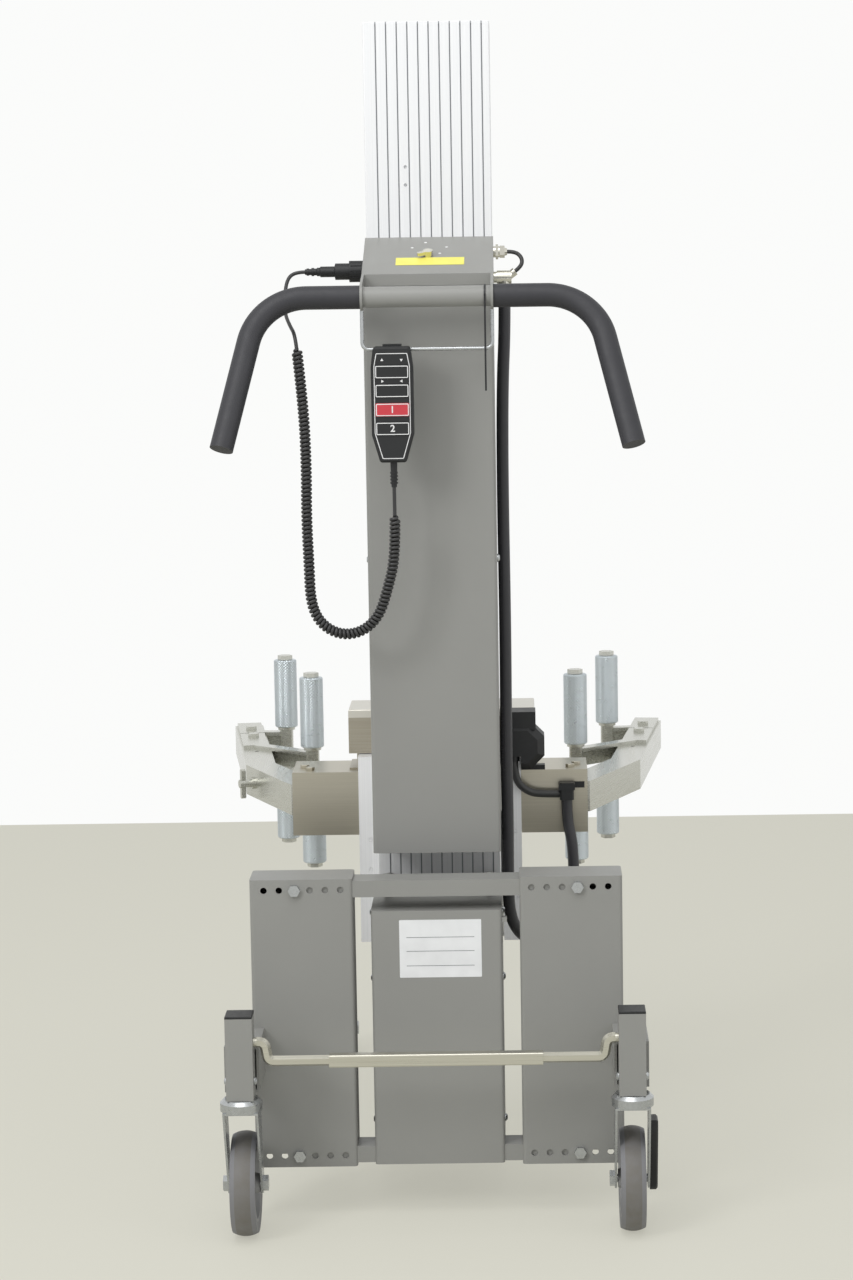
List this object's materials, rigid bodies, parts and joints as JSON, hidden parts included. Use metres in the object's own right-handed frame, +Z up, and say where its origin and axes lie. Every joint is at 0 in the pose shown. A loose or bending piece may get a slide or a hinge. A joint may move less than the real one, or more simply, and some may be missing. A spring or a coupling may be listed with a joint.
{
  "type": "lifting trolley",
  "caption": "Castor-mounted lifting trolley with a tall extruded mast, a rising carriage with roller gripper arms, bent handlebar and a hanging corded handset.",
  "frame": {"origin": "on the floor, under the middle of the trolley's box measured without its cords", "axes": "+Z up along the mast, +X to the right of the operator, who stands on the -Y side; the gripper arms point along +Y"},
  "size_m": [0.6168, 0.9415, 1.443],
  "materials": {
    "grey_paint": "fine satin powder coat",
    "zinc_plate": "bright zinc plate",
    "bright_metal": "polished nickel",
    "stainless": "brushed",
    "bare_aluminium": "satin anodised",
    "knurled_aluminium": "diamond knurl",
    "black_plastic": "matte",
    "red_plastic": "matte",
    "guide_plastic": "matte",
    "grip_rubber": "matte",
    "cord_rubber": "satin",
    "braided_sleeve": "woven",
    "wheel_rubber": "matte"
  },
  "bodies": {
    "chassis": {"castor_post_left": "grey_paint", "castor_post_right": "grey_paint", "centre_housing": "grey_paint", "cord_plug": "black_plastic", "crossbars": "grey_paint", "curly_cord": "cord_rubber", "dome_screws": "zinc_plate", "front_leg_left": "grey_paint", "front_leg_right": "grey_paint", "grip_left": "grip_rubber", "grip_right": "grip_rubber", "handlebar": "grey_paint", "handset": "black_plastic", "handset_tail": "cord_rubber", "head_box": "grey_paint", "head_cable": "cord_rubber", "head_fittings": "bright_metal", "hex_bolts": "zinc_plate", "mast": "bare_aluminium", "mast_cheeks": "grey_paint", "plug_tail": "cord_rubber", "post_caps": "black_plastic", "rear_cover": "grey_paint", "side_box_left": "grey_paint", "side_box_right": "grey_paint", "sleeve_fixed": "braided_sleeve", "wire_hanger": "zinc_plate"},
    "carriage": {"carriage_frame": "bare_aluminium", "slide_guides": "guide_plastic", "gripper_box": "stainless", "hood": "stainless", "gear_motor": "black_plastic", "cable_joint": "black_plastic", "sleeve_moving": "braided_sleeve", "motor_cable": "cord_rubber"},
    "arm_left": {"arm_left": "stainless"},
    "arm_right": {"arm_right": "stainless"},
    "lock_bar": {"lock_bar": "stainless"},
    "selector_switch": {"selector_switch": "bright_metal"},
    "rear_fork_left": {"rear_castor_fork_left": "zinc_plate"},
    "rear_fork_right": {"rear_castor_fork_right": "zinc_plate", "rear_castor_cover": "black_plastic"},
    "front_fork_left": {"front_castor_fork_left": "zinc_plate"},
    "front_fork_right": {"front_castor_fork_right": "zinc_plate"},
    "rear_wheel_left": {"rear_wheel_left": "wheel_rubber"},
    "rear_wheel_right": {"rear_wheel_right": "wheel_rubber"},
    "front_wheel_left": {"front_wheel_left": "wheel_rubber"},
    "front_wheel_right": {"front_wheel_right": "wheel_rubber"},
    "handset_key_1": {"handset_key_1": "black_plastic"},
    "handset_key_2": {"handset_key_2": "black_plastic"},
    "handset_key_3": {"handset_key_3": "red_plastic"},
    "handset_key_4": {"handset_key_4": "black_plastic"},
    "roller_far_lower_left": {"roller_far_lower_left": "knurled_aluminium"},
    "roller_far_lower_right": {"roller_far_lower_right": "knurled_aluminium"},
    "roller_far_upper_left": {"roller_far_upper_left": "knurled_aluminium"},
    "roller_far_upper_right": {"roller_far_upper_right": "knurled_aluminium"},
    "roller_near_lower_left": {"roller_near_lower_left": "knurled_aluminium"},
    "roller_near_lower_right": {"roller_near_lower_right": "knurled_aluminium"},
    "roller_near_upper_left": {"roller_near_upper_left": "knurled_aluminium"},
    "roller_near_upper_right": {"roller_near_upper_right": "knurled_aluminium"}
  },
  "joints": [
    {"name": "lift", "type": "slide", "parent": "chassis", "child": "carriage", "axis": [0, 0, 1], "range_m": [0, 0.84]},
    {"name": "arm_right_slide", "type": "slide", "parent": "carriage", "child": "arm_right", "axis": [1, 0, 0], "range_m": [0, 0.1]},
    {"name": "arm_left_slide", "type": "slide", "parent": "carriage", "child": "arm_left", "axis": [-1, 0, 0], "range_m": [0, 0.1]},
    {"name": "roller_far_lower_left_spin", "type": "hinge", "parent": "arm_left", "child": "roller_far_lower_left", "pos_m": [-0.228, 0.38, 0.458], "axis": [0, 0, 1], "continuous": true},
    {"name": "roller_far_lower_right_spin", "type": "hinge", "parent": "arm_right", "child": "roller_far_lower_right", "pos_m": [0.228, 0.38, 0.458], "axis": [0, 0, 1], "continuous": true},
    {"name": "roller_far_upper_left_spin", "type": "hinge", "parent": "arm_left", "child": "roller_far_upper_left", "pos_m": [-0.228, 0.38, 0.458], "axis": [0, 0, 1], "continuous": true},
    {"name": "roller_far_upper_right_spin", "type": "hinge", "parent": "arm_right", "child": "roller_far_upper_right", "pos_m": [0.228, 0.38, 0.458], "axis": [0, 0, 1], "continuous": true},
    {"name": "roller_near_lower_left_spin", "type": "hinge", "parent": "arm_left", "child": "roller_near_lower_left", "pos_m": [-0.18, 0.2, 0.458], "axis": [0, 0, 1], "continuous": true},
    {"name": "roller_near_lower_right_spin", "type": "hinge", "parent": "arm_right", "child": "roller_near_lower_right", "pos_m": [0.18, 0.2, 0.458], "axis": [0, 0, 1], "continuous": true},
    {"name": "roller_near_upper_left_spin", "type": "hinge", "parent": "arm_left", "child": "roller_near_upper_left", "pos_m": [-0.18, 0.2, 0.458], "axis": [0, 0, 1], "continuous": true},
    {"name": "roller_near_upper_right_spin", "type": "hinge", "parent": "arm_right", "child": "roller_near_upper_right", "pos_m": [0.18, 0.2, 0.458], "axis": [0, 0, 1], "continuous": true},
    {"name": "rear_swivel_left", "type": "hinge", "parent": "chassis", "child": "rear_fork_left", "pos_m": [-0.231, -0.446, 0.178], "axis": [0, 0, 1], "continuous": true},
    {"name": "rear_wheel_left_spin", "type": "hinge", "parent": "rear_fork_left", "child": "rear_wheel_left", "pos_m": [-0.231, -0.408, 0.0625], "axis": [1, 0, 0], "continuous": true},
    {"name": "front_swivel_left", "type": "hinge", "parent": "chassis", "child": "front_fork_left", "pos_m": [-0.16, 0.4, 0.1], "axis": [0, 0, 1], "continuous": true},
    {"name": "front_wheel_left_spin", "type": "hinge", "parent": "front_fork_left", "child": "front_wheel_left", "pos_m": [-0.16, 0.428, 0.0375], "axis": [1, 0, 0], "continuous": true},
    {"name": "rear_swivel_right", "type": "hinge", "parent": "chassis", "child": "rear_fork_right", "pos_m": [0.231, -0.446, 0.178], "axis": [0, 0, 1], "continuous": true},
    {"name": "rear_wheel_right_spin", "type": "hinge", "parent": "rear_fork_right", "child": "rear_wheel_right", "pos_m": [0.231, -0.408, 0.0625], "axis": [1, 0, 0], "continuous": true},
    {"name": "front_swivel_right", "type": "hinge", "parent": "chassis", "child": "front_fork_right", "pos_m": [0.16, 0.4, 0.1], "axis": [0, 0, 1], "continuous": true},
    {"name": "front_wheel_right_spin", "type": "hinge", "parent": "front_fork_right", "child": "front_wheel_right", "pos_m": [0.16, 0.428, 0.0375], "axis": [1, 0, 0], "continuous": true},
    {"name": "lock_bar_tilt", "type": "hinge", "parent": "chassis", "child": "lock_bar", "pos_m": [0, -0.446, 0.245], "axis": [1, 0, 0], "range_deg": [-30, 30]},
    {"name": "selector_turn", "type": "hinge", "parent": "chassis", "child": "selector_switch", "pos_m": [0, -0.2, 1.15857], "axis": [0, -0.3502, 0.9367], "range_deg": [0, 90]},
    {"name": "handset_key_1_press", "type": "slide", "parent": "chassis", "child": "handset_key_1", "axis": [0, 1, 0], "range_m": [0, 0.001], "stiffness_N_per_m": 1500, "springref_m": -0.0005},
    {"name": "handset_key_2_press", "type": "slide", "parent": "chassis", "child": "handset_key_2", "axis": [0, 1, 0], "range_m": [0, 0.001], "stiffness_N_per_m": 1500, "springref_m": -0.0005},
    {"name": "handset_key_3_press", "type": "slide", "parent": "chassis", "child": "handset_key_3", "axis": [0, 1, 0], "range_m": [0, 0.001], "stiffness_N_per_m": 1500, "springref_m": -0.0005},
    {"name": "handset_key_4_press", "type": "slide", "parent": "chassis", "child": "handset_key_4", "axis": [0, 1, 0], "range_m": [0, 0.001], "stiffness_N_per_m": 1500, "springref_m": -0.0005}
  ],
  "couplings": [
    {"joint": "arm_left_slide", "follows": "arm_right_slide", "ratio": 1}
  ]
}
